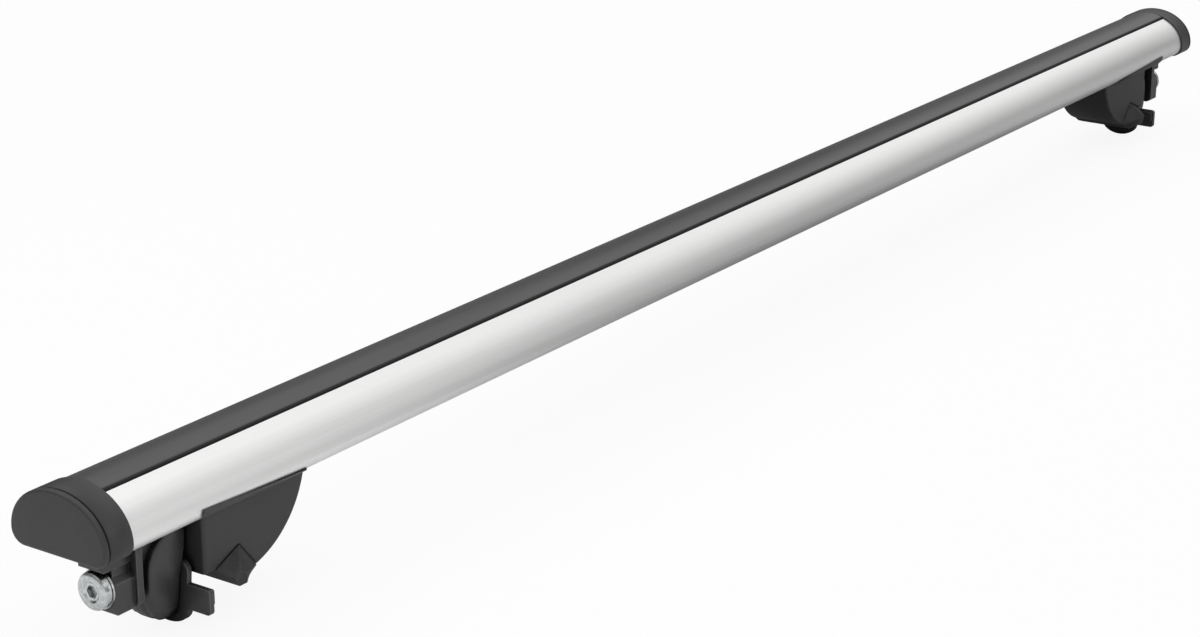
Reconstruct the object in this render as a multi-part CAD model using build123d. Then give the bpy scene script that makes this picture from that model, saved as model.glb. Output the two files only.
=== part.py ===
from build123d import *
import os

os.makedirs("parts", exist_ok=True)

# Roof rack crossbar with a clamp foot for raised rails at each end.
# Millimetres, +Z up, X along the bar, Y across it. Z = 0 is the level of the claw tips.
# Along a foot, "u" is the distance inboard from the cap's outer face.
# Under the bar, "d" is the depth below the bar's flat underside.

# Bar section, measured from the level where the bar is widest
overall_length = 1200.0
bar_half_width = 29.0
crown_rise = 23.2
belly_drop = 7.0
belly_flat_half = 22.0
bar_wall = 2.0
web_thickness = 1.8

# Top slot and its rubber strip
top_slot_half = 10.0
top_chamber_half = 13.5
top_chamber_height = 6.5
top_lip = 5.2
strip_seat = 1.4
strip_half_width = 12.3
strip_side_gap = 1.0
strip_crown = 1.0
strip_edge = 0.7
strip_edge_round = 0.8
strip_leg = 3.2
strip_leg_length = 3.6
strip_barb = 2.6
strip_slot_gap = 0.25
strip_end_gap = 0.2

# Underside slot
slot_half = 4.25
slot_chamber_half = 8.0
slot_chamber_height = 6.0
slot_lip = 2.2

# End caps
cap_depth = 18.0
cap_step = 1.0
cap_wall = 2.4
cap_edge_round = 1.6
cap_plug_length = 14.0
cap_plug_wall = 1.8
cap_plug_gap = 0.2

# Claw (moving jaw)
claw_tip_depth = 58.0
claw_bar_gap = 0.3
beam_half_width = 7.0
beam_thickness = 7.0
hood_reach = 5.5
hood_half_width = 8.0
hood_gap = 0.8
lug_u = 24.0
lug_length = 12.5
lug_half_width = 10.0
lug_rise = 6.8
lug_fall = 11.6
lug_bevel = 3.0
lug_round = 1.5
flange_thickness = 4.0
flange_half_width = 12.0
flange_fall = 12.0
flange_crown = 9.0
flange_round = 4.0
leg_gap = 6.0
leg_length = 20.5
leg_half_width = 8.0
leg_step_depth = 19.3
leg_slope_depth = 11.7
leg_top_depth = 6.8
leg_step = 6.5
leg_lean = 15.0
leg_heel = 4.6
leg_shoulder_depth = 18.5
leg_throat_depth = 34.0
leg_tip_depth = 53.0
leg_tip_round = 14.0
leg_corner = 8.0
leg_edge = 6.0
leg_back_edge = 2.5
leg_core_half = 6.0
guide_inset = 4.0
guide_length = 12.0
guide_side_gap = 0.25
guide_height = 3.8
blade_thickness = 2.8
blade_half_width = 14.0
blade_top_depth = 25.0
blade_top_round = 6.0
blade_lean = 1.0
blade_throat_depth = 35.0
blade_shoulder_depth = 49.0
lip_reach = 5.5
lip_half_width = 11.5
lip_depth = 45.4
lip_drop = 1.8
wing_half_width = 27.8
wing_top_depth = 35.8
wing_bottom_depth = 48.8
wing_corner = 2.0
lining_thickness = 2.0
lining_margin = 0.8

# Clamp bolt, nut and washer
bolt_depth = 25.2
bolt_diameter = 8.0
bolt_end_u = 124.0
bolt_running_gap = 0.05
bolt_pass_gap = 0.6
bolt_chamfer = 1.0
head_diameter = 19.0
head_length = 4.5
head_chamfer = 0.8
socket_across = 6.0
socket_depth = 3.6
washer_diameter = 20.0
washer_thickness = 1.0
nut_across = 13.0
nut_height = 6.5
nut_gap = 0.1

# The right foot is set this much nearer its end of the bar
right_foot_outset = 10.0

# Foot cover (fin)
cover_u = 73.0
cover_half_width = 20.0
cover_wall = 2.5
cover_floor = 2.2
cover_top_length = 74.0
cover_bar_gap = 0.2
cover_round = 1.8
fin_mid_u = 59.7
fin_mid_depth = 25.8
fin_tail_u = 35.7
fin_tail_depth = 39.6
seat_length = 8.0
cover_bolt_gap = 0.6

# Wedge pad (fixed jaw)
pad_apex_u = 24.0
pad_apex_depth = 24.8
pad_heel_u = 30.0
pad_heel_depth = 43.0
pad_toe_u = 22.0
pad_toe_depth = 45.5
pad_half_width = 19.8
pad_wing_half = 27.0
pad_tip_u = 12.0
pad_tip_length = 9.0
pad_tip_depth = 34.0
pad_tip_height = 7.5
nut_channel_half = 8.5

# Bracket, its screws and slot nuts
bracket_thickness = 3.0
bracket_cover_gap = 0.5
bracket_half_width = 14.4
bracket_length = 62.0
bracket_floor_gap = 0.4
gusset_length = 33.0
gusset_margin = 1.0
screw_diameter = 6.0
screw_head_diameter = 10.0
screw_head_height = 6.0
screw_socket = 5.0
screw_socket_depth = 3.0
screw_first = 20.0
screw_spacing = 30.0
screw_hole_gap = 0.3
slot_nut_length = 13.0
slot_nut_height = 4.6
slot_nut_side_gap = 0.3

# Levels and places that follow from the sizes above
underside_z = claw_tip_depth
widest_z = underside_z + belly_drop
end_x = -overall_length / 2
bar_end_x = end_x + cap_depth
bar_length = overall_length - 2 * cap_depth
top_lip_z = crown_rise - top_lip
top_floor_z = top_lip_z - top_chamber_height
slot_floor_z = -belly_drop + slot_lip
slot_roof_z = slot_floor_z + slot_chamber_height
web_outer = max(slot_chamber_half + web_thickness, web_thickness * 2)
bolt_z = underside_z - bolt_depth
seat_depth = bolt_depth + bolt_diameter / 2 + cover_bolt_gap + cover_floor
floor_depth = bolt_depth + nut_across / 2 + nut_gap
wall_u = cover_u + cover_wall + bracket_cover_gap
nut_u = wall_u + bracket_thickness
beam_depth = cap_step + claw_bar_gap


def at(u, d):
    """Point of the left foot in the bar's middle plane."""
    return (end_x + u, 0.0, underside_z - d)


def side_face(points, y):
    """Outline in (u, d), drawn at a place across the bar."""
    corners = [Vector(*at(u, d)) + Vector(0, y, 0) for u, d in points]
    return make_face(Polyline(*corners, close=True))


def side_prism(points, half_width):
    """Outline in (u, d), drawn in the middle plane and extruded to both sides."""
    return extrude(side_face(points, 0), half_width, both=True)


def block(u0, u1, half_width, d0, d1):
    """Box of the left foot between two places and two depths."""
    middle = Pos(end_x + (u0 + u1) / 2, 0, underside_z - (d0 + d1) / 2)
    return middle * Box(u1 - u0, 2 * half_width, d1 - d0)


def rod(u0, u1, diameter, z):
    """Round bar along X."""
    middle = Pos(end_x + (u0 + u1) / 2, 0, z) * Rot(0, 90, 0)
    return middle * Cylinder(diameter / 2, u1 - u0)


def tongue(u0, u1, half_width, top, shoulder, tip):
    """Plate across the bar: straight sides, elliptical lower end."""
    plane = Plane(origin=at(u0, 0), x_dir=(0, 1, 0), z_dir=(1, 0, 0))
    edges = [
        Polyline((half_width, -shoulder), (half_width, -top), (-half_width, -top), (-half_width, -shoulder)),
        EllipticalCenterArc((0, -shoulder), half_width, tip - shoulder, start_angle=180, arc_size=180),
    ]
    return extrude(plane * make_face(edges), u1 - u0)


def rect(y0, y1, z0, z1):
    """Rectangle in the section plane."""
    return Pos((y0 + y1) / 2, (z0 + z1) / 2) * Rectangle(y1 - y0, z1 - z0)


def outline(grow):
    """Bar outline, grown outwards by a distance."""
    wide = bar_half_width + grow
    rise = crown_rise + grow
    drop = belly_drop + grow
    corner = wide - belly_flat_half
    edges = [
        EllipticalCenterArc((0, 0), wide, rise, start_angle=0, arc_size=180),
        EllipticalCenterArc((-belly_flat_half, 0), corner, drop, start_angle=180, arc_size=90),
        Line((-belly_flat_half, -drop), (belly_flat_half, -drop)),
        EllipticalCenterArc((belly_flat_half, 0), corner, drop, start_angle=270, arc_size=90),
    ]
    return make_face(edges)


def side_chambers(inset):
    """The two hollow chambers at the sides of the bar, drawn in by a distance."""
    clear = 2 * bar_half_width
    shape = outline(-bar_wall - inset)
    web = web_outer + inset
    shape -= rect(-web, web, -clear, clear)
    shoulder = top_chamber_half + web_thickness + inset
    shape -= rect(-shoulder, shoulder, top_floor_z - web_thickness - inset, clear)
    return shape


def along(face, x0, length):
    """Section extruded along X from a place."""
    plane = Plane(origin=(x0, 0, widest_z), x_dir=(0, 1, 0), z_dir=(1, 0, 0))
    return extrude(plane * face, length)


def turned(part):
    """The same piece at the right end: a half turn about Z."""
    return part.rotate(Axis.Z, 180)


def hex_prism(u0, u1, across, z):
    """Hexagonal bar along X with flats above and below."""
    plane = Plane(origin=(end_x + u0, 0, z), x_dir=(0, 1, 0), z_dir=(1, 0, 0))
    face = plane * RegularPolygon(across / 2, 6, major_radius=False)
    return extrude(face, u1 - u0)


# Bar
section = outline(0)
section -= side_chambers(0)
section -= rect(-top_slot_half, top_slot_half, top_floor_z, 2 * crown_rise)
section -= rect(-top_chamber_half, top_chamber_half, top_floor_z, top_lip_z)
seat_half = strip_half_width + strip_side_gap
section -= rect(-seat_half, seat_half, top_lip_z, 2 * crown_rise) - outline(-strip_seat)
section -= rect(-slot_half, slot_half, -2 * belly_drop, slot_floor_z)
section -= rect(-slot_chamber_half, slot_chamber_half, slot_floor_z, slot_roof_z)
core_half = web_outer - web_thickness
section -= rect(-core_half, core_half, slot_roof_z + web_thickness, top_floor_z - web_thickness)
bar_extrusion = along(section, bar_end_x, bar_length)

# Rubber strip: crowned flange on the seat, two barbed legs in the slot
edge_rise = crown_rise * (1 - (strip_half_width / bar_half_width) ** 2) ** 0.5
strip_edge_z = edge_rise + strip_edge
strip_top_z = crown_rise + strip_crown
flange_edges = [
    ThreePointArc((strip_half_width, strip_edge_z), (0, strip_top_z), (-strip_half_width, strip_edge_z)),
    Polyline((-strip_half_width, strip_edge_z), (-strip_half_width, top_lip_z),
             (strip_half_width, top_lip_z), (strip_half_width, strip_edge_z)),
]
flange_face = make_face(flange_edges)
top_corners = flange_face.vertices().filter_by_position(Axis.Y, top_lip_z + strip_seat, crown_rise)
strip_section = fillet(top_corners, strip_edge_round) - outline(-strip_seat)
leg_outer = top_slot_half - strip_slot_gap
barb_z = top_lip_z - strip_slot_gap
for side in (-1, 1):
    outer = side * leg_outer
    inner = side * (leg_outer - strip_leg)
    leg_bottom = barb_z - strip_leg_length
    strip_section += rect(min(outer, inner), max(outer, inner), leg_bottom, edge_rise)
    barb = Polyline((outer, barb_z), (outer + side * strip_barb, barb_z), (outer, leg_bottom), close=True)
    strip_section += make_face(barb)
strip_length = bar_length - 2 * strip_end_gap
top_strip = along(strip_section, bar_end_x + strip_end_gap, strip_length)

# End cap: hollow shell with a rounded face and two plugs for the side chambers
cap = along(outline(cap_step), end_x, cap_depth)
cap = fillet(cap.faces().sort_by(Axis.X)[0].edges(), cap_edge_round)
cap -= along(outline(cap_step - cap_wall), end_x + cap_wall, cap_depth)
plugs = side_chambers(cap_plug_gap) - side_chambers(cap_plug_gap + cap_plug_wall)
cap += along(plugs, end_x + cap_wall, cap_depth - cap_wall + cap_plug_length)
left_end_cap = cap

# Claw: hood over the bolt head, lug, flange, leg and blade, with a guide in the underside slot
flange_u = lug_u + lug_length
leg_u = flange_u + flange_thickness + leg_gap
blade_u = leg_u + leg_length
blade_face_u = blade_u + blade_thickness
beam_end = blade_u + leg_heel
hood_depth = bolt_depth - washer_diameter / 2 - hood_gap
claw = block(lug_u - hood_reach, flange_u, hood_half_width, beam_depth, hood_depth)
claw = fillet(claw.faces().sort_by(Axis.X)[0].edges(), lug_round)
claw += block(flange_u - lug_round, beam_end, beam_half_width, beam_depth, beam_depth + beam_thickness)
claw += block(lug_u + lug_round, flange_u, beam_half_width, beam_depth, bolt_depth)
lug = block(lug_u, flange_u + lug_round, lug_half_width, bolt_depth - lug_rise, bolt_depth + lug_fall)
lug = chamfer(lug.faces().sort_by(Axis.Z)[-1].edges().filter_by(Axis.X), lug_bevel)
claw += fillet(lug.faces().sort_by(Axis.X)[0].edges(), lug_round)
flange = block(flange_u, flange_u + flange_thickness, flange_half_width, beam_depth, bolt_depth + flange_fall)
flange = fillet(flange.edges().filter_by(Axis.X).group_by(Axis.Z)[-1], flange_crown)
claw += fillet(flange.edges().filter_by(Axis.X).group_by(Axis.Z)[0], flange_round)
claw += block(flange_u, leg_u + leg_tip_round, leg_core_half, beam_depth, bolt_depth + leg_core_half)

guide_half = slot_half - guide_side_gap
guide_head_half = slot_chamber_half - guide_side_gap
head_low = -slot_lip - guide_side_gap
guide_start = leg_u + guide_inset
guide_end = guide_start + guide_length
claw += block(guide_start, guide_end, guide_half, head_low - guide_side_gap, beam_depth + guide_side_gap)
claw += block(guide_start, guide_end, guide_head_half, head_low - guide_height, head_low)

leg_profile = [
    (leg_u + leg_lean, claw_bar_gap),
    (beam_end, claw_bar_gap),
    (beam_end, leg_shoulder_depth),
    (blade_u, leg_throat_depth),
    (blade_u, leg_tip_depth),
    (leg_u, leg_tip_depth),
    (leg_u, leg_step_depth),
    (leg_u + leg_step, leg_slope_depth),
    (leg_u + leg_lean, leg_top_depth),
]
leg = side_prism(leg_profile, leg_half_width)
cross_edges = leg.edges().filter_by(Axis.Y)
tip_edge = cross_edges.group_by(Axis.Z)[0].sort_by(Axis.X)[0]
leg = fillet(tip_edge, leg_tip_round)
bend_edges = leg.edges().filter_by(Axis.Y).filter_by_position(
    Axis.Z, underside_z - leg_step_depth - 1, underside_z - leg_slope_depth + 1).sort_by(Axis.X)[:2]
leg = fillet(bend_edges, leg_corner)
back_limit = end_x + blade_u - 1
side_edges = leg.faces().filter_by(Axis.Y).edges()
back_edges = side_edges.filter_by(lambda edge: edge.center().X > back_limit and edge.center().Z < bolt_z)
leg = fillet(back_edges, leg_back_edge)
low_limit = underside_z - leg_tip_depth + 1
front_limit = end_x + leg_u + leg_lean - 1
side_edges = leg.faces().filter_by(Axis.Y).edges()
front_edges = side_edges.filter_by(lambda edge: edge.center().X < front_limit or edge.center().Z < low_limit)
leg = fillet(front_edges, leg_edge)
claw += leg

blade_profile = [
    (blade_u + blade_lean, blade_top_depth),
    (blade_face_u + blade_lean, blade_top_depth),
    (blade_face_u, blade_throat_depth),
    (blade_face_u, claw_tip_depth),
    (blade_u, claw_tip_depth),
    (blade_u, blade_throat_depth),
]
plate = tongue(blade_u, blade_face_u + blade_lean, blade_half_width, blade_top_depth, blade_shoulder_depth,
               claw_tip_depth)
plate = fillet(plate.edges().filter_by(Axis.X).group_by(Axis.Z)[-1], blade_top_round)
claw += side_prism(blade_profile, blade_half_width) & plate
lip_end = blade_face_u + lip_reach
lip_profile = [
    (blade_u, lip_depth),
    (blade_face_u, lip_depth),
    (lip_end, lip_depth + lip_drop),
    (lip_end, lip_depth + lip_drop + blade_thickness),
    (blade_u, lip_depth + blade_thickness),
]
claw += side_prism(lip_profile, lip_half_width)
wing = block(blade_u, blade_face_u, wing_half_width, wing_top_depth, wing_bottom_depth)
claw += fillet(wing.edges().filter_by(Axis.X), wing_corner)
claw -= rod(lug_u - 1, flange_u, bolt_diameter + 2 * bolt_running_gap, bolt_z)
claw -= rod(flange_u - 1, beam_end + 1, bolt_diameter + 2 * bolt_pass_gap, bolt_z)
left_clamp_claw = claw

# Claw lining on the part of the blade that meets the rail
lining_top = max(wing_top_depth, blade_throat_depth) + lining_margin
lining_low = lip_depth - lining_margin
lining_half = wing_half_width - lining_margin
lining = block(blade_face_u, blade_face_u + lining_thickness, lining_half, lining_top, lining_low)
lining = fillet(lining.edges().filter_by(Axis.X), wing_corner - lining_margin)
lining = chamfer(lining.faces().sort_by(Axis.X)[-1].edges(), lining_thickness / 3)
left_claw_lining = lining

# Clamp bolt and washer
washer_u = lug_u - washer_thickness
washer = rod(washer_u, lug_u, washer_diameter, bolt_z)
washer -= rod(washer_u - 1, lug_u + 1, bolt_diameter + 2 * bolt_pass_gap, bolt_z)
left_bolt_washer = washer

head_u = washer_u - head_length
head = rod(head_u, washer_u, head_diameter, bolt_z)
head = chamfer(head.edges().filter_by(GeomType.CIRCLE), head_chamfer)
shank = rod(washer_u, bolt_end_u, bolt_diameter, bolt_z)
shank = chamfer(shank.edges().filter_by(GeomType.CIRCLE).sort_by(Axis.X)[-1], bolt_chamfer)
left_clamp_bolt = head + shank - hex_prism(head_u, head_u + socket_depth, socket_across, bolt_z)

# Clamp nut against the bracket's wall
nut = hex_prism(nut_u, nut_u + nut_height, nut_across, bolt_z)
left_clamp_nut = nut - rod(nut_u - 1, nut_u + nut_height + 1, bolt_diameter + 2 * bolt_running_gap, bolt_z)

# Wedge pad: kite section, ends tapering out to the front and the back
kite = [
    (cover_u + seat_length, seat_depth),
    (cover_u + pad_apex_u, pad_apex_depth),
    (cover_u + fin_tail_u, fin_tail_depth),
    (cover_u + pad_heel_u, pad_heel_depth),
    (cover_u + pad_toe_u, pad_toe_depth),
]
tip_u = cover_u + pad_tip_u
tip = [
    (tip_u, pad_tip_depth + pad_tip_height * 0.3),
    (tip_u + pad_tip_length * 0.5, pad_tip_depth),
    (tip_u + pad_tip_length, pad_tip_depth + pad_tip_height * 0.3),
    (tip_u + pad_tip_length, pad_tip_depth + pad_tip_height),
    (tip_u + pad_tip_length * 0.4, pad_tip_depth + pad_tip_height),
]
pad = side_prism(kite, pad_half_width)
for side in (-1, 1):
    root = side_face(kite, side * pad_half_width)
    pad += loft([root, side_face(tip, side * pad_wing_half)], ruled=True)
channel = block(cover_u, cover_u + fin_tail_u, nut_channel_half, -claw_tip_depth, floor_depth)
pad -= channel
left_rail_pad = pad

# Foot cover: fin-shaped shell, open to the bar
roof_depth = -belly_drop / 2
fin_end = cover_u + cover_top_length
fin_edges = [
    Polyline(at(fin_end, roof_depth), at(cover_u, roof_depth), at(cover_u, seat_depth), at(*kite[0]),
             at(*kite[1]), at(*kite[2])),
    ThreePointArc(at(*kite[2]), at(cover_u + fin_mid_u, fin_mid_depth), at(fin_end, roof_depth)),
]
fin_face = make_face(fin_edges)
cover = extrude(fin_face, cover_half_width, both=True)
cover = fillet(cover.faces().filter_by(Axis.Y).edges(), cover_round)
inner_face = offset(fin_face, amount=-cover_wall)
cover -= extrude(inner_face, cover_half_width - cover_wall, both=True)
cover -= along(outline(cover_bar_gap), end_x, overall_length / 2)
cover -= block(nut_u - bracket_cover_gap, cover_u + fin_tail_u, nut_channel_half, bolt_depth - bolt_diameter,
               max(floor_depth, seat_depth) + 1)
cover -= rod(cover_u - 1, wall_u, bolt_diameter + 2 * cover_bolt_gap, bolt_z)
left_foot_cover = cover

# Bracket: plate under the bar, wall for the nut, two gussets
plate = block(wall_u, wall_u + bracket_length, bracket_half_width, 0, bracket_thickness)
wall_bottom = seat_depth - max(cover_wall, cover_floor) - bracket_floor_gap
bracket = plate + block(wall_u, nut_u, bracket_half_width, 0, wall_bottom)
gusset = side_prism([(nut_u - 1, bracket_thickness - 1), (nut_u + gusset_length, bracket_thickness - 1),
                     (nut_u + gusset_length, bracket_thickness),
                     (nut_u, wall_bottom - gusset_margin), (nut_u - 1, wall_bottom - gusset_margin)],
                    bracket_half_width)
gusset -= block(wall_u - 1, wall_u + bracket_length, bracket_half_width - bracket_thickness, -1, seat_depth)
bracket += gusset
bracket -= rod(wall_u - 1, nut_u + 1, bolt_diameter + 2 * bolt_pass_gap, bolt_z)

# Bracket screws and slot nuts
screws = []
slot_nuts = []
nut_low = -slot_lip
nut_high = nut_low - slot_nut_height
for number in range(2):
    screw_u = wall_u + screw_first + number * screw_spacing
    x = end_x + screw_u
    hole = Pos(x, 0, underside_z) * Cylinder(screw_diameter / 2 + screw_hole_gap, 4 * bracket_thickness)
    bracket -= hole
    head_z = underside_z - bracket_thickness - screw_head_height / 2
    screw_head = Pos(x, 0, head_z) * Cylinder(screw_head_diameter / 2, screw_head_height)
    screw_head = chamfer(screw_head.edges().sort_by(Axis.Z)[0], screw_head_height / 12)
    key = Plane(origin=(x, 0, head_z - screw_head_height / 2), z_dir=(0, 0, 1))
    screw_head -= extrude(key * RegularPolygon(screw_socket / 2, 6, major_radius=False), screw_socket_depth)
    stem_length = bracket_thickness - nut_high
    stem_z = underside_z - bracket_thickness + stem_length / 2
    screws.append(screw_head + Pos(x, 0, stem_z) * Cylinder(screw_diameter / 2, stem_length))
    slot_nut = block(screw_u - slot_nut_length / 2, screw_u + slot_nut_length / 2,
                     slot_chamber_half - slot_nut_side_gap, nut_high, nut_low)
    slot_nut -= Pos(x, 0, underside_z) * Cylinder(screw_diameter / 2 + bolt_running_gap, 8 * slot_lip)
    slot_nuts.append(slot_nut)
left_foot_bracket = bracket
left_foot_screws = Compound(children=screws)
left_slot_nuts = Compound(children=slot_nuts)

nodes = {
    "bar_extrusion": bar_extrusion,
    "top_strip": top_strip,
}
left_pieces = {
    "end_cap": left_end_cap,
    "foot_cover": left_foot_cover,
    "foot_bracket": left_foot_bracket,
    "foot_screws": left_foot_screws,
    "slot_nuts": left_slot_nuts,
    "rail_pad": left_rail_pad,
    "clamp_nut": left_clamp_nut,
    "clamp_claw": left_clamp_claw,
    "claw_lining": left_claw_lining,
    "bolt_washer": left_bolt_washer,
    "clamp_bolt": left_clamp_bolt,
}
for name, piece in left_pieces.items():
    outset = 0 if name == "end_cap" else right_foot_outset
    nodes["left_" + name] = piece
    nodes["right_" + name] = Pos(outset, 0, 0) * turned(piece)

for name, piece in nodes.items():
    export_step(piece, "parts/" + name + ".step")
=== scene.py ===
import bpy
import math
from mathutils import Matrix, Vector


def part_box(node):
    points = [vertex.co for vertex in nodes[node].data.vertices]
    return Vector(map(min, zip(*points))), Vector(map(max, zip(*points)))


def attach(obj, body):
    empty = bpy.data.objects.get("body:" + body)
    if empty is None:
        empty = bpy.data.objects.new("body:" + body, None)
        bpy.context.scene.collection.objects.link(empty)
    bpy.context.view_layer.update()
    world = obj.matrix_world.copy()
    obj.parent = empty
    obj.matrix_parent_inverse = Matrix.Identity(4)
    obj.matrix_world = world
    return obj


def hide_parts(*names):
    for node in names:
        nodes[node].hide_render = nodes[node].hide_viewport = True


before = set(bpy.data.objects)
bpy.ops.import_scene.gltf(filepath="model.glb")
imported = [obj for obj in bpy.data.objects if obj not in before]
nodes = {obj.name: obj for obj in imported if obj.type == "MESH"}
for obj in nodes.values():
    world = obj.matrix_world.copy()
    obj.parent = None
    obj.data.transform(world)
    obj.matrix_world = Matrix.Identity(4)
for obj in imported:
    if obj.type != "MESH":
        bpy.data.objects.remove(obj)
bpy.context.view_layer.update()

# Roof rack crossbar: finishes, detail pieces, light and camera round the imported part.
# Metres, X along the bar, Y across it, Z up from the level of the claw tips.
MM = 0.001
# Each foot's way out along X
SIDES = {"left": -1, "right": 1}
# Points closer than this are merged
WELD = 0.001 * MM
# Edges with less of a turn than this are shaded smooth
SMOOTH_ANGLE = math.radians(30.0)
STRAP_SMOOTH_ANGLE = math.radians(35.0)

# Bar section: the level where the bar is widest, and the round of its lower corners
CORNER_RADIUS = 7.0 * MM
CORNER_ACROSS = 22.0 * MM
UNDERSIDE_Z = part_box("bar_extrusion")[0].z
WIDEST_Z = UNDERSIDE_Z + CORNER_RADIUS

# Strip and its seat in the bar's crown: distances from the bar's middle, and the seat's height
# The seat's sizes also place painted shade on the bar inside the seat
STRIP_SEAT_HALF = 13.3 * MM
SEAT_EDGE_BLEND = 0.06 * MM
SEAT_FLOOR_Z = WIDEST_Z + 8.0 * MM
SEAT_FLOOR_BLEND = 1.0 * MM
# Across the strip, from the middle: where its painted highlight on the shoulders starts and is full
STRIP_SHOULDER_HIGHLIGHT = (1.0 * MM, 8.0 * MM)
# Across the strip, from the middle: where its painted shade along the edges starts and is full
STRIP_EDGE_SHADE = (10.9 * MM, 11.7 * MM)

# End cap: outline sizes and the seam behind its face plate
CAP_HALF_WIDTH = 30.0 * MM
CAP_RISE = 24.2 * MM
CAP_CORNER = 8.0 * MM
SEAM_BEHIND_FACE = 2.7 * MM
SEAM_WIDTH = 1.1 * MM
SEAM_DEPTH = 0.9 * MM
# Past these shares of the outline, a point of the cap is on its outer skin
SKIN_SHARE_CROWN = 0.97
SKIN_SHARE_CORNER = 0.94

# Clamp bolt in millimetres: stations from the head's face inwards, as distance and radius
BOLT_SIDES = 48
HEAD_STATIONS = [(0.7, 4.3), (0.0, 5.4), (0.05, 7.0), (0.3, 8.3), (0.8, 9.15),
                 (1.5, 9.5), (4.2, 9.5), (4.5, 9.2)]
SHANK_RADIUS = 4.0
SHANK_TOP = 4.5
THREAD_TOP = 50.0
THREAD_END = 104.3
THREAD_PITCH = 1.25
THREAD_ROOT = 3.35
BOLT_POINT = (105.5, 2.9)
SOCKET_ACROSS = 6.0
SOCKET_DEPTH = 3.4
SOCKET_CONE = 1.0
SOCKET_FLOOR_SHARE = 0.2
# A face counts as an end face when it faces along X by more than this
END_FACING = 0.9

# Leg strap in millimetres: sections down the claw's leg, as depth under the bar, the outer and
# inner faces' distances inboard of the bolt head's face, and half the width
STRAP_SECTIONS = [
    (1.2, 42.7, 53.2, 10.0),
    (6.4, 42.0, 53.2, 10.0),
    (8.6, 38.6, 53.2, 10.0),
    (11.6, 34.8, 53.2, 10.0),
    (15.0, 31.4, 53.0, 10.0),
    (19.5, 28.8, 52.2, 10.0),
    (25.0, 27.8, 51.0, 10.0),
    (33.0, 27.7, 48.7, 9.9),
    (39.0, 28.0, 48.6, 9.5),
    (44.5, 29.8, 48.6, 8.7),
    (49.0, 32.8, 48.6, 7.6),
    (52.2, 37.2, 48.6, 6.2),
    (53.8, 42.0, 48.6, 4.6),
]
STRAP_CORNER = 1.6 * MM
STRAP_CORNER_STEPS = 3
BOLT_PASS_RADIUS = 5.2 * MM
BOLT_PASS_LENGTH = 60.0 * MM
# An edge that climbs less than this is level
LEVEL_EDGE = 0.05 * MM

# Saddle lip: the foot cover's edge that hugs the bar's lower corner
LIP_GAP = 0.15 * MM
LIP_THICKNESS = 0.8 * MM
LIP_TUCK = 3.5 * MM
LIP_TOP_OUTBOARD = 0.1 * MM
LIP_TOP_INBOARD = 5.3 * MM
LIP_LEAD = 9.0 * MM
LIP_STEPS = 14
COVER_HALF_WIDTH = 20.0 * MM

# Colours as they look under plain white light
ANODISED = (0.83, 0.83, 0.825)
STRIP_BLACK = (0.034, 0.033, 0.033)
PLASTIC_BLACK = (0.027, 0.0265, 0.0275)
COATING_BLACK = (0.034, 0.034, 0.035)
PAD_BLACK = (0.028, 0.028, 0.028)
# Near-black of painted shade, for gaps, hollows and the strip's edges
PAINTED_SHADE_BLACK = (0.008, 0.008, 0.008)
ZINC = (0.61, 0.635, 0.635)
WHITE = (1.0, 1.0, 1.0)

# Floor: pale to the camera, and for the bar to reflect, graded along it from a pale near end
# to a grey middle and part of the way back
FLOOR_SIZE = 30.0
FLOOR_DROP = 0.4 * MM
FLOOR_PALE = (0.88, 0.88, 0.88)
FLOOR_GREY = (0.22, 0.22, 0.22)
NEAR_GRADE = (-0.40, -0.05)
FAR_GRADE = (0.40, 0.85)
FAR_PALE_SHARE = 0.5
# Shares of white that the camera and the reflections see, on the floor and on the walls
FLOOR_WHITE = (0.90, 0.05)
WALL_WHITE = (1.0, 0.06)

# Surround of the studio: brightness by height, from the level of the floor to straight up
WALL_STOPS = [(0.0, 0.10), (0.15, 0.22), (0.34, 0.52), (0.48, 0.88), (0.7, 0.92)]
# The wall behind the bar is dimmer than the others, up to the bright ceiling
BACK_WALL_DEPTHS = (0.30, 0.60)
BACK_WALL_HEIGHTS = (0.60, 0.42)
BACK_WALL_DIM = 0.8

# Lamps: place, the point that they face, the side of the square and the power in watts
LAMPS = {
    "overhead": ((0.0, -0.2, 2.2), (0.0, 0.0, 0.0), 2.4, 8.0),
    "front": ((-1.9, -1.9, 0.8), (-0.4, 0.0, 0.05), 1.0, 5.5),
    "rim": ((-0.95, 0.6, 0.75), (-0.55, 0.0, 0.08), 0.4, 1.2),
    "side": ((0.6, -1.4, 0.25), (0.2, 0.0, 0.06), 0.7, 1.5),
    "far_end": ((2.2, 0.2, 1.15), (0.3, 0.0, 0.08), 1.0, 1.2),
    "back": ((0.84, 1.2, 0.95), (-0.5, 0.0, 0.08), 0.7, 0.6),
}

# Camera of the photograph: a long lens in front of the left end, looking down along the bar
CAMERA_PLACE = Vector((-1.3739, -0.8334, 0.5552))
CAMERA_YAW = math.radians(55.24)
CAMERA_PITCH = math.radians(-19.09)
CAMERA_LENS = 81.0
SENSOR_WIDTH = 36.0
NEAREST_SEEN = 0.01
FARTHEST_SEEN = 100.0


class Shade:
    """One output of a finish's nodes. Sums with numbers or other outputs add Math nodes."""

    def __init__(self, finish, socket):
        self.finish = finish
        self.socket = socket

    def maths(self, operation, first, second):
        return self.finish.node("ShaderNodeMath", {"operation": operation}, {0: first, 1: second})

    def __add__(self, other):
        return self.maths("ADD", self, other)

    def __radd__(self, other):
        return self.maths("ADD", other, self)

    def __sub__(self, other):
        return self.maths("SUBTRACT", self, other)

    def __rsub__(self, other):
        return self.maths("SUBTRACT", other, self)

    def __mul__(self, other):
        return self.maths("MULTIPLY", self, other)

    def __rmul__(self, other):
        return self.maths("MULTIPLY", other, self)

    def size(self):
        """The value without its sign."""
        return self.maths("ABSOLUTE", self, 0.0)


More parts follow.
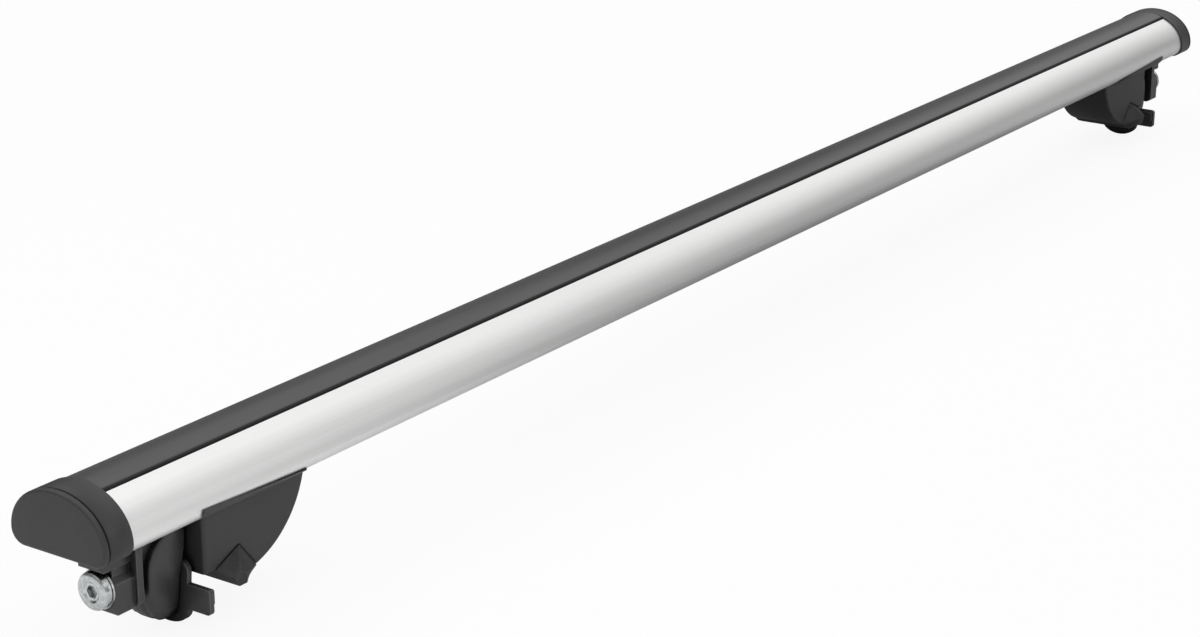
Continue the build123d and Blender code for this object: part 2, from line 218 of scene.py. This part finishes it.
class Finish:
    """A node material, or the world, under construction."""

    def __init__(self, name, owner=None):
        self.owner = owner or bpy.data.materials.new(name)
        self.owner.use_nodes = True
        self.tree = self.owner.node_tree
        self.tree.nodes.clear()

    def node(self, kind, settings=None, inputs=None, output=0):
        """Adds a node: its settings first, then the values or links of its sockets."""
        made = self.tree.nodes.new(kind)
        for name, value in (settings or {}).items():
            if name == "stops":
                self.set_stops(made.color_ramp, value)
            else:
                setattr(made, name, value)
        for name, value in (inputs or {}).items():
            if isinstance(value, Shade):
                self.tree.links.new(value.socket, made.inputs[name])
            else:
                made.inputs[name].default_value = value
        return Shade(self, made.outputs[output]) if made.outputs else None

    def set_stops(self, ramp, stops):
        """Grey levels along a colour ramp."""
        while len(ramp.elements) < len(stops):
            ramp.elements.new(1.0)
        for element, (place, level) in zip(ramp.elements, stops):
            element.position = place
            element.color = (level, level, level, 1.0)

    def places(self):
        """Where a point of the piece is, in metres."""
        return self.node("ShaderNodeTexCoord", output="Object")

    def place_along(self, axis):
        """One coordinate of a point of the piece, in metres."""
        return self.node("ShaderNodeSeparateXYZ", None, {"Vector": self.places()}, output=axis)

    def noise(self, vector, scale, detail, roughness):
        values = {"Vector": vector, "Scale": scale, "Detail": detail, "Roughness": roughness}
        return self.node("ShaderNodeTexNoise", None, values)

    def specks(self, per_metre, detail=3.0, roughness=0.5):
        """Even noise, so many spots to the metre."""
        return self.noise(self.places(), per_metre, detail, roughness)

    def streaks(self, along, across, detail=3.0, roughness=0.5):
        """Noise drawn out along the bar, so many spots to the metre along and across it."""
        values = {"Vector": self.places(), "Scale": (along, across, across)}
        return self.noise(self.node("ShaderNodeMapping", None, values), 1.0, detail, roughness)

    def ramp(self, value, low, high):
        """0 below low, 1 above high, and a straight run between."""
        values = {"Value": value, "From Min": low, "From Max": high}
        return self.node("ShaderNodeMapRange", None, values)

    def tint(self, factor, first, second):
        """Colour between two colours."""
        colours = [end if isinstance(end, Shade) else (*end, 1.0) for end in (first, second)]
        values = {0: factor, 6: colours[0], 7: colours[1]}
        return self.node("ShaderNodeMix", {"data_type": "RGBA"}, values, output=2)

    def soft_edges(self, radius):
        """The surface's direction with its sharp edges rounded off."""
        return self.node("ShaderNodeBevel", {"samples": 4}, {"Radius": radius})

    def edges(self, softened):
        """1 on the edges of the piece, 0 on its flats, from its softened direction."""
        facing = self.node("ShaderNodeNewGeometry", output="Normal")
        match = self.node("ShaderNodeVectorMath", {"operation": "DOT_PRODUCT"},
                          {0: softened, 1: facing}, output="Value")
        return self.ramp(1.0 - match, low=0.01, high=0.16)

    def openness(self, reach):
        """1 on open faces, less in gaps and hollows narrower than the reach."""
        return self.node("ShaderNodeAmbientOcclusion", {"samples": 8}, {"Distance": reach},
                         output="AO")

    def bump(self, height, strength, distance, under=None):
        values = {"Height": height, "Strength": strength, "Distance": distance}
        if under:
            values["Normal"] = under
        return self.node("ShaderNodeBump", None, values)

    def surface(self, inputs, painted_shade=None):
        """The finish's own shader, joined to the output, with a matt dark one mixed in as painted
        shade where its mask lies.
        """
        shader = self.node("ShaderNodeBsdfPrincipled", None, inputs)
        if painted_shade:
            matt = self.node("ShaderNodeBsdfDiffuse", None, {"Color": (*PAINTED_SHADE_BLACK, 1.0)})
            shader = self.node("ShaderNodeMixShader", None, {0: painted_shade, 1: shader, 2: matt})
        self.node("ShaderNodeOutputMaterial", None, {"Surface": shader})
        return self.owner


def mixed(colour, factor):
    """A colour made lighter or darker."""
    return tuple(min(1.0, part * factor) for part in colour)


def satin_aluminium():
    """Anodised extrusion: die lines along the bar, a faint cloud in the anodising, and painted
    shade in the strip's seat.
    """
    finish = Finish("satin_aluminium")
    lines = finish.streaks(along=1.5, across=900.0, detail=4.0, roughness=0.6)
    fine = finish.streaks(along=6.0, across=4200.0, detail=2.0)
    cloud = finish.streaks(along=5.0, across=28.0)
    grain = finish.specks(2600.0, detail=2.0)
    shift = finish.ramp(lines * 0.55 + cloud * 0.45, low=0.3, high=0.7)
    colour = finish.tint(shift, mixed(ANODISED, 0.955), mixed(ANODISED, 1.03))
    across = finish.place_along("Y").size()
    # Painted shade: the bar is darkened in the strip's seat, above the seat's floor
    in_seat = finish.ramp(across, STRIP_SEAT_HALF + SEAT_EDGE_BLEND, STRIP_SEAT_HALF)
    height = finish.place_along("Z")
    painted_seat_shade = in_seat * finish.ramp(height, SEAT_FLOOR_Z, SEAT_FLOOR_Z + SEAT_FLOOR_BLEND)
    relief = lines * 0.5 + fine * 0.3 + grain * 0.2
    return finish.surface({
        "Base Color": finish.tint(painted_seat_shade, colour, mixed(ANODISED, 0.12)),
        "Metallic": 0.82,
        "Roughness": 0.34 + cloud * 0.08 + fine * 0.06,
        "Normal": finish.bump(relief, strength=0.10, distance=0.08 * MM),
    })


def strip_rubber():
    """Extruded rubber: lengthwise drawing lines, fine pores, dust in the low places; a painted
    highlight on its shoulders and painted shade along its edges.
    """
    finish = Finish("strip_rubber")
    lines = finish.streaks(along=2.0, across=700.0, detail=4.0, roughness=0.6)
    pores = finish.specks(2200.0, roughness=0.6)
    dust = finish.streaks(along=9.0, across=60.0, detail=4.0, roughness=0.6)
    across = finish.place_along("Y").size()
    # Painted highlight: the strip is paler on its shoulders than along its crown
    shoulder_highlight = finish.ramp(across, *STRIP_SHOULDER_HIGHLIGHT)
    # Paler where dust lies and, as a painted highlight, on the shoulders
    pale = finish.ramp(lines * 0.3 + dust * 0.4 + shoulder_highlight * 0.3, low=0.30, high=0.80)
    colour = finish.tint(pale, mixed(STRIP_BLACK, 0.75), mixed(STRIP_BLACK, 1.7))
    # Painted shade: the strip's edges are darkened to near-black
    edge = finish.ramp(across, *STRIP_EDGE_SHADE)
    relief = lines * 0.6 + pores * 0.4
    return finish.surface({
        "Base Color": finish.tint(edge, colour, PAINTED_SHADE_BLACK),
        "Roughness": 0.34 + pale * 0.06 + pores * 0.06 + edge * 0.4,
        "Specular IOR Level": 0.62,
        "Normal": finish.bump(relief, strength=0.22, distance=0.1 * MM),
    })


def grained_plastic():
    """Moulded plastic: an etched grain of small cells, a slow change of shade, painted highlights
    on its edges and painted shade in its gaps.
    """
    finish = Finish("grained_plastic")
    cells = finish.node("ShaderNodeTexVoronoi", {"feature": "SMOOTH_F1"},
                        {"Vector": finish.places(), "Scale": 1500.0, "Smoothness": 0.6})
    grain = finish.specks(900.0, detail=4.0, roughness=0.6)
    cloud = finish.specks(45.0)
    shift = finish.ramp(grain * 0.5 + cloud * 0.5, low=0.3, high=0.7)
    colour = finish.tint(shift, mixed(PLASTIC_BLACK, 0.86), mixed(PLASTIC_BLACK, 1.2))
    softened = finish.soft_edges(0.7 * MM)
    # Painted shade: a near-black matt is mixed in where gaps and hollows are narrower than the
    # reach
    open_share = finish.openness(16.0 * MM)
    # Painted highlight: open edges are lightened
    painted_edge_highlight = finish.edges(softened) * finish.ramp(open_share, low=0.45, high=0.8)
    relief = cells * 0.6 + grain * 0.4
    return finish.surface({
        "Base Color": finish.tint(painted_edge_highlight * 0.75, colour, mixed(PLASTIC_BLACK, 4.0)),
        "Roughness": 0.40 + grain * 0.14,
        "Specular IOR Level": 0.5,
        "Normal": finish.bump(relief, strength=0.28, distance=0.12 * MM, under=softened),
    }, painted_shade=finish.ramp(open_share, low=0.62, high=0.3) * 0.92)


def coated_casting():
    """Powder-coated casting: orange peel over a coarser cast skin, with painted highlights on its
    edges and painted shade in its gaps.
    """
    finish = Finish("coated_casting")
    skin = finish.specks(160.0, roughness=0.55)
    peel = finish.specks(1100.0, detail=2.0)
    cloud = finish.specks(60.0)
    shift = finish.ramp(skin * 0.4 + cloud * 0.6, low=0.32, high=0.7)
    colour = finish.tint(shift, mixed(COATING_BLACK, 0.85), mixed(COATING_BLACK, 1.25))
    softened = finish.soft_edges(1.0 * MM)
    # Painted shade: a near-black matt is mixed in where gaps and hollows are narrower than the
    # reach
    open_share = finish.openness(14.0 * MM)
    # Painted highlight: open edges are lightened
    painted_edge_highlight = finish.edges(softened) * finish.ramp(open_share, low=0.4, high=0.75)
    relief = skin * 0.6 + peel * 0.4
    return finish.surface({
        "Base Color": finish.tint(painted_edge_highlight * 0.9, colour, mixed(COATING_BLACK, 6.0)),
        "Roughness": 0.30 + peel * 0.16,
        "Specular IOR Level": 0.55,
        "Normal": finish.bump(relief, strength=0.25, distance=0.25 * MM, under=softened),
    }, painted_shade=finish.ramp(open_share, low=0.70, high=0.35) * 0.95)


def pad_rubber():
    """Moulded rubber of the jaws: matt, fine-pored, a little dusty, with painted highlights on its
    edges and painted shade in its gaps.
    """
    finish = Finish("pad_rubber")
    pores = finish.specks(1800.0, roughness=0.6)
    dust = finish.specks(120.0, detail=4.0, roughness=0.6)
    pale = finish.ramp(dust, low=0.4, high=0.75)
    colour = finish.tint(pale, mixed(PAD_BLACK, 0.85), mixed(PAD_BLACK, 1.5))
    softened = finish.soft_edges(0.8 * MM)
    # Painted shade: a near-black matt is mixed in where gaps and hollows are narrower than the
    # reach
    open_share = finish.openness(4.0 * MM)
    # Painted highlight: open edges are lightened
    painted_edge_highlight = finish.edges(softened) * finish.ramp(open_share, low=0.5, high=0.9)
    return finish.surface({
        "Base Color": finish.tint(painted_edge_highlight * 0.6, colour, mixed(PAD_BLACK, 3.5)),
        "Roughness": 0.58 + pores * 0.15,
        "Specular IOR Level": 0.4,
        "Normal": finish.bump(pores, strength=0.3, distance=0.12 * MM, under=softened),
    }, painted_shade=finish.ramp(open_share, low=0.55, high=0.2) * 0.9)


def zinc_plate():
    """Bright zinc: small crystals in the plating, a few darker stains, and painted shade in its
    recesses.
    """
    finish = Finish("zinc_plate")
    crystals = finish.node("ShaderNodeTexVoronoi", None,
                           {"Vector": finish.places(), "Scale": 700.0}, output="Color")
    spangle = finish.noise(crystals, scale=3.0, detail=0.0, roughness=0.5)
    stain = finish.specks(220.0, detail=4.0, roughness=0.6)
    fine = finish.specks(3000.0, detail=2.0)
    shift = finish.ramp(spangle * 0.5 + stain * 0.5, low=0.35, high=0.65)
    # Painted shade: a near-black matt is mixed in where recesses are narrower than the reach
    open_share = finish.openness(4.0 * MM)
    relief = fine * 0.5 + stain * 0.5
    return finish.surface({
        "Base Color": finish.tint(shift, mixed(ZINC, 0.78), mixed(ZINC, 1.14)),
        "Metallic": 1.0,
        "Roughness": 0.19 + spangle * 0.14,
        "Normal": finish.bump(relief, strength=0.12, distance=0.1 * MM),
    }, painted_shade=finish.ramp(open_share, low=0.7, high=0.25) * 0.85)


def dress(obj, finish):
    """Gives a piece its finish."""
    obj.data.materials.clear()
    obj.data.materials.append(finish)


aluminium = satin_aluminium()
strip_black = strip_rubber()
plastic = grained_plastic()
casting = coated_casting()
rubber = pad_rubber()
zinc = zinc_plate()

FOOT_FINISHES = {
    "end_cap": (plastic, "black_plastic"),
    "foot_cover": (plastic, "black_plastic"),
    "rail_pad": (rubber, "black_rubber"),
    "claw_lining": (rubber, "black_rubber"),
    "clamp_claw": (casting, "coated_casting"),
    "foot_bracket": (zinc, "zinc_steel"),
    "foot_screws": (zinc, "zinc_steel"),
    "slot_nuts": (zinc, "zinc_steel"),
    "clamp_nut": (zinc, "zinc_steel"),
    "bolt_washer": (zinc, "zinc_steel"),
    "clamp_bolt": (zinc, "zinc_steel"),
}
dress(nodes["bar_extrusion"], aluminium)
dress(nodes["top_strip"], strip_black)
for side in SIDES:
    for piece, (finish, slot) in FOOT_FINISHES.items():
        dress(nodes[side + "_" + piece], finish)


def work_on(piece):
    """Opens a piece for editing, with all of it selected."""
    bpy.ops.object.select_all(action="DESELECT")
    piece.select_set(True)
    bpy.context.view_layer.objects.active = piece
    bpy.ops.object.mode_set(mode="EDIT")
    bpy.ops.mesh.select_mode(type="FACE")
    bpy.ops.mesh.select_all(action="SELECT")


def new_piece(name):
    """Names the primitive that was just added, and puts its place into its mesh."""
    piece = bpy.context.object
    piece.name = name
    bpy.ops.object.transform_apply(location=True, rotation=True, scale=True)
    return piece


def pick_faces(piece, wanted):
    """Selects the faces of the open piece whose middle and direction pass a test."""
    bpy.ops.mesh.select_all(action="DESELECT")
    bpy.ops.object.mode_set(mode="OBJECT")
    for face in piece.data.polygons:
        face.select = wanted(face.center, face.normal)
    bpy.ops.object.mode_set(mode="EDIT")


def pick_climbing_edges(piece):
    """Selects the edges of the open piece that aren't level."""
    bpy.ops.mesh.select_mode(type="EDGE")
    bpy.ops.mesh.select_all(action="DESELECT")
    bpy.ops.object.mode_set(mode="OBJECT")
    points = piece.data.vertices
    for edge in piece.data.edges:
        low, high = sorted(points[index].co.z for index in edge.vertices)
        edge.select = high - low > LEVEL_EDGE
    bpy.ops.object.mode_set(mode="EDIT")


def close_piece(angle):
    """Merges the open piece's seams, turns its faces outwards and smooths all but sharp edges."""
    bpy.ops.mesh.select_all(action="SELECT")
    bpy.ops.mesh.remove_doubles(threshold=WELD)
    bpy.ops.mesh.normals_make_consistent(inside=False)
    bpy.ops.object.mode_set(mode="OBJECT")
    bpy.ops.object.shade_smooth_by_angle(angle=angle)


def subtract(piece, cutter, angle):
    """Cuts one piece out of another with a Boolean modifier, and smooths what is left."""
    work_on(piece)
    bpy.ops.object.mode_set(mode="OBJECT")
    cut = piece.modifiers.new("cut", "BOOLEAN")
    cut.operation = "DIFFERENCE"
    cut.object = cutter
    bpy.ops.object.modifier_apply(modifier=cut.name)
    bpy.data.objects.remove(cutter)
    bpy.ops.object.shade_smooth_by_angle(angle=angle)


def fit_piece(piece, body, finish, slot, *stands_for):
    """Gives a finished piece its finish and the body that it moves with."""
    dress(piece, finish)
    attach(piece, body)
    if stands_for:
        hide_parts(*stands_for)


def bolt_head_middle(side, outward):
    """Middle of the bolt head's face, from which the foot's distances inboard count."""
    low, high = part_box(side + "_clamp_bolt")
    middle = (low + high) / 2
    middle.x = low.x if outward < 0 else high.x
    return middle


def on_cap_skin(place):
    """True on the cap's outer skin, false on the plugs and walls inside it."""
    across = abs(place.y)
    height = place.z - WIDEST_Z
    if height > 0.0:
        return math.hypot(across / CAP_HALF_WIDTH, height / CAP_RISE) > SKIN_SHARE_CROWN
    return math.hypot(max(across - CORNER_ACROSS, 0.0), height) > SKIN_SHARE_CORNER * CAP_CORNER


def seamed_cap(side, outward):
    """End cap with the seam that runs round it behind the face plate."""
    node = side + "_end_cap"
    cap = bpy.data.objects.new(side + "_seamed_cap", nodes[node].data.copy())
    bpy.context.scene.collection.objects.link(cap)
    work_on(cap)
    bpy.ops.mesh.remove_doubles(threshold=WELD)
    low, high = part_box(node)
    face_x = low.x if outward < 0 else high.x
    seam = [face_x - outward * depth
            for depth in (SEAM_BEHIND_FACE, SEAM_BEHIND_FACE + SEAM_WIDTH)]
    for x in seam:
        bpy.ops.mesh.select_all(action="SELECT")
        bpy.ops.mesh.bisect(plane_co=(x, 0.0, 0.0), plane_no=(1.0, 0.0, 0.0))
    pick_faces(cap, lambda middle, facing: (
        min(seam) < middle.x < max(seam) and on_cap_skin(middle)))
    bpy.ops.mesh.extrude_region_shrink_fatten(TRANSFORM_OT_shrink_fatten={"value": -SEAM_DEPTH})
    bpy.ops.object.mode_set(mode="OBJECT")
    bpy.ops.object.shade_smooth_by_angle(angle=SMOOTH_ANGLE)
    fit_piece(cap, "bar", plastic, "black_plastic", node)


def turned_solid(name, start, inward, stations):
    """Round solid along X: a disc at the first station, drawn on from station to station."""
    bpy.ops.object.select_all(action="DESELECT")
    first_place, first_radius = stations[0]
    first = start + Vector((first_place * MM * inward, 0.0, 0.0))
    bpy.ops.mesh.primitive_circle_add(vertices=BOLT_SIDES, radius=first_radius * MM,
                                      fill_type="NGON", location=first,
                                      rotation=(0.0, math.pi / 2, 0.0))
    solid = new_piece(name)
    work_on(solid)
    for (last_place, last_radius), (place, radius) in zip(stations, stations[1:]):
        step = (place - last_place) * MM * inward
        bpy.ops.mesh.extrude_region_move(TRANSFORM_OT_translate={"value": (step, 0.0, 0.0)})
        grow = radius / last_radius
        middle = (start.x + place * MM * inward, start.y, start.z)
        bpy.ops.transform.resize(value=(1.0, grow, grow), center_override=middle)
    close_piece(SMOOTH_ANGLE)
    return solid


def bolt_stations():
    """Head, plain shank, thread turns and point of the clamp bolt."""
    stations = HEAD_STATIONS + [(SHANK_TOP, SHANK_RADIUS), (THREAD_TOP, SHANK_RADIUS)]
    turns = int((THREAD_END - THREAD_TOP) / THREAD_PITCH)
    for turn in range(turns):
        top = THREAD_TOP + turn * THREAD_PITCH
        stations.append((top + 0.5 * THREAD_PITCH, THREAD_ROOT))
        stations.append((top + THREAD_PITCH, SHANK_RADIUS))
    return stations + [BOLT_POINT]


def socket_key(start, inward):
    """Hexagon key with a coned point, the shape of the bolt's socket."""
    bpy.ops.object.select_all(action="DESELECT")
    bpy.ops.mesh.primitive_cylinder_add(vertices=6, radius=SOCKET_ACROSS / math.sqrt(3.0) * MM,
                                        depth=2.0 * SOCKET_DEPTH * MM, location=start,
                                        rotation=(0.0, math.pi / 2, 0.0))
    key = new_piece("socket_key")
    work_on(key)
    pick_faces(key, lambda middle, facing: facing.x * inward > END_FACING)
    cone = (SOCKET_CONE * MM * inward, 0.0, 0.0)
    bpy.ops.mesh.extrude_region_move(TRANSFORM_OT_translate={"value": cone})
    bpy.ops.transform.resize(value=(1.0, SOCKET_FLOOR_SHARE, SOCKET_FLOOR_SHARE),
                             center_override=start)
    bpy.ops.object.mode_set(mode="OBJECT")
    return key


def threaded_bolt(side, outward):
    """Threaded clamp bolt with a domed socket head."""
    start = bolt_head_middle(side, outward)
    bolt = turned_solid(side + "_threaded_bolt", start, -outward, bolt_stations())
    subtract(bolt, socket_key(start, -outward), SMOOTH_ANGLE)
    fit_piece(bolt, side + "_bolt", zinc, "zinc_steel", side + "_clamp_bolt")


def leg_strap(side, outward):
    """Strap of the claw's leg: a flat bar, leaning in at its top, drawn down by sections."""
    start = bolt_head_middle(side, outward)
    sections = []
    for depth, outer, inner, half_width in STRAP_SECTIONS:
        inboard = (outer + inner) / 2 * MM
        middle = Vector((start.x - outward * inboard, 0.0, UNDERSIDE_Z - depth * MM))
        sections.append((middle, (inner - outer) * MM, 2.0 * half_width * MM))
    top, top_length, top_width = sections[0]
    bpy.ops.object.select_all(action="DESELECT")
    bpy.ops.mesh.primitive_plane_add(size=1.0, location=top)
    bpy.ops.transform.resize(value=(top_length, top_width, 1.0))
    strap = new_piece(side + "_leg_strap")
    work_on(strap)
    for (last, last_length, last_width), (place, length, width) in zip(sections, sections[1:]):
        bpy.ops.mesh.extrude_region_move(TRANSFORM_OT_translate={"value": place - last})
        grow = (length / last_length, width / last_width, 1.0)
        bpy.ops.transform.resize(value=grow, center_override=place)
    bpy.ops.mesh.select_all(action="SELECT")
    bpy.ops.mesh.normals_make_consistent(inside=False)
    pick_climbing_edges(strap)
    bpy.ops.mesh.bevel(offset=STRAP_CORNER, segments=STRAP_CORNER_STEPS, affect="EDGES")
    close_piece(STRAP_SMOOTH_ANGLE)
    bpy.ops.object.select_all(action="DESELECT")
    bpy.ops.mesh.primitive_cylinder_add(vertices=BOLT_SIDES, radius=BOLT_PASS_RADIUS,
                                        depth=BOLT_PASS_LENGTH,
                                        location=(top.x, start.y, start.z),
                                        rotation=(0.0, math.pi / 2, 0.0))
    subtract(strap, bpy.context.object, STRAP_SMOOTH_ANGLE)
    fit_piece(strap, side + "_claw", casting, "coated_casting")


def saddle_lip(side, outward, name, flank):
    """Thin edge of the foot cover that flares out and hugs one lower corner of the bar."""
    low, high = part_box(side + "_foot_cover")
    outer, inner = (low.x, high.x) if outward < 0 else (high.x, low.x)
    lead = outer + outward * LIP_LEAD
    middle = (lead + inner) / 2
    length = abs(lead - inner)
    reach = CORNER_RADIUS + LIP_GAP + LIP_THICKNESS / 2
    bpy.ops.object.select_all(action="DESELECT")
    bpy.ops.mesh.primitive_plane_add(
        size=1.0, location=(middle, flank * (CORNER_ACROSS + reach), WIDEST_Z))
    bpy.ops.transform.resize(value=(length, LIP_THICKNESS, 1.0))
    lip = new_piece(side + "_" + name + "_saddle_lip")
    work_on(lip)
    bpy.ops.mesh.spin(steps=LIP_STEPS, angle=flank * math.pi / 2, axis=(1.0, 0.0, 0.0),
                      center=(middle, flank * CORNER_ACROSS, WIDEST_Z))
    tuck = (0.0, -flank * LIP_TUCK, 0.0)
    bpy.ops.mesh.extrude_region_move(TRANSFORM_OT_translate={"value": tuck})
    bpy.ops.mesh.select_all(action="SELECT")
    bpy.ops.mesh.remove_doubles(threshold=WELD)
    bpy.ops.mesh.normals_make_consistent(inside=False)
    # Top edge falls away inboard, and both ends sweep outboard with the flare
    fall = (LIP_TOP_INBOARD - LIP_TOP_OUTBOARD) / length
    top = WIDEST_Z - (LIP_TOP_OUTBOARD + LIP_TOP_INBOARD) / 2
    root = flank * COVER_HALF_WIDTH
    cuts = [
        ((middle, 0.0, top), (-outward * fall, 0.0, 1.0)),
        ((outer, root, 0.0), (outward, -flank, 0.0)),
        ((inner, root, 0.0), (-outward, flank, 0.0)),
    ]
    for point, facing in cuts:
        bpy.ops.mesh.select_all(action="SELECT")
        bpy.ops.mesh.bisect(plane_co=point, plane_no=facing, use_fill=True, clear_outer=True)
    close_piece(SMOOTH_ANGLE)
    fit_piece(lip, "bar", plastic, "black_plastic")


for side, outward in SIDES.items():
    seamed_cap(side, outward)
    threaded_bolt(side, outward)
    leg_strap(side, outward)
    saddle_lip(side, outward, "front", -1)
    saddle_lip(side, outward, "back", 1)


def straight_rays(finish):
    """1 where the camera looks straight on or through glass, else 0."""
    camera = finish.node("ShaderNodeLightPath", output="Is Camera Ray")
    through = finish.node("ShaderNodeLightPath", output="Is Transmission Ray")
    return camera.maths("MAXIMUM", camera, through)


def seen_share(finish, direct, mirrored):
    """How far the surround's white shows: to the camera or through glass, and in reflections."""
    glossy = finish.node("ShaderNodeLightPath", output="Is Glossy Ray")
    return straight_rays(finish) * direct + glossy * mirrored


def studio_floor():
    """Wide pale floor that keeps a soft shadow."""
    bpy.ops.object.select_all(action="DESELECT")
    bpy.ops.mesh.primitive_plane_add(size=FLOOR_SIZE, location=(0.0, 0.0, -FLOOR_DROP))
    floor = bpy.context.object
    floor.name = "studio_floor"
    finish = Finish("studio_floor")
    along = finish.place_along("X")
    grade = finish.ramp(along, *NEAR_GRADE) - finish.ramp(along, *FAR_GRADE) * FAR_PALE_SHARE
    shade = finish.tint(grade * (1.0 - straight_rays(finish)), FLOOR_PALE, FLOOR_GREY)
    lit = finish.node("ShaderNodeBsdfDiffuse", None, {"Color": shade})
    white = finish.node("ShaderNodeEmission", None, {"Color": (*WHITE, 1.0), "Strength": 1.0})
    share = seen_share(finish, *FLOOR_WHITE)
    shader = finish.node("ShaderNodeMixShader", None, {0: share, 1: lit, 2: white})
    finish.node("ShaderNodeOutputMaterial", None, {"Surface": shader})
    floor.data.materials.append(finish.owner)


def studio_world():
    """Surround, white to the camera, that lights the part from a bright ceiling over grey walls."""
    world = bpy.data.worlds.new("studio_world")
    bpy.context.scene.world = world
    finish = Finish("studio_world", world)
    white = finish.node("ShaderNodeBackground", None, {"Color": (*WHITE, 1.0), "Strength": 1.0})
    direction = finish.node("ShaderNodeTexCoord", output="Generated")
    height = finish.node("ShaderNodeSeparateXYZ", None, {"Vector": direction}, output="Z")
    depth = finish.node("ShaderNodeSeparateXYZ", None, {"Vector": direction}, output="Y")
    by_height = finish.node("ShaderNodeValToRGB", {"stops": WALL_STOPS}, {"Fac": height})
    behind = finish.ramp(depth, *BACK_WALL_DEPTHS) * finish.ramp(height, *BACK_WALL_HEIGHTS)
    wall = by_height * (1.0 - behind * BACK_WALL_DIM)
    soft = finish.node("ShaderNodeBackground", None, {"Color": wall, "Strength": 1.0})
    share = seen_share(finish, *WALL_WHITE)
    shader = finish.node("ShaderNodeMixShader", None, {0: share, 1: soft, 2: white})
    finish.node("ShaderNodeOutputWorld", None, {"Surface": shader})


def soft_box(name, place, target, size, power):
    """Square studio lamp turned towards a point."""
    lamp = bpy.data.lights.new(name, "AREA")
    lamp.size = size
    lamp.energy = power
    holder = bpy.data.objects.new(name, lamp)
    bpy.context.scene.collection.objects.link(holder)
    holder.location = place
    aim = Vector(target) - Vector(place)
    holder.rotation_euler = aim.to_track_quat("-Z", "Y").to_euler()


def photo_camera():
    """Camera at the photograph's place and angle."""
    level = math.cos(CAMERA_PITCH)
    forward = Vector((math.sin(CAMERA_YAW) * level, math.cos(CAMERA_YAW) * level,
                      math.sin(CAMERA_PITCH)))
    right = forward.cross(Vector((0.0, 0.0, 1.0))).normalized()
    up = right.cross(forward)
    lens = bpy.data.cameras.new("photo_camera")
    lens.lens = CAMERA_LENS
    lens.sensor_width = SENSOR_WIDTH
    lens.clip_start = NEAREST_SEEN
    lens.clip_end = FARTHEST_SEEN
    camera = bpy.data.objects.new("photo_camera", lens)
    bpy.context.scene.collection.objects.link(camera)
    turn = Matrix((right, up, -forward)).transposed().to_4x4()
    camera.matrix_world = Matrix.Translation(CAMERA_PLACE) @ turn
    bpy.context.scene.camera = camera


studio_floor()
studio_world()
for name, (place, target, size, power) in LAMPS.items():
    soft_box(name, place, target, size, power)
photo_camera()
bpy.context.scene.view_settings.view_transform = "Standard"
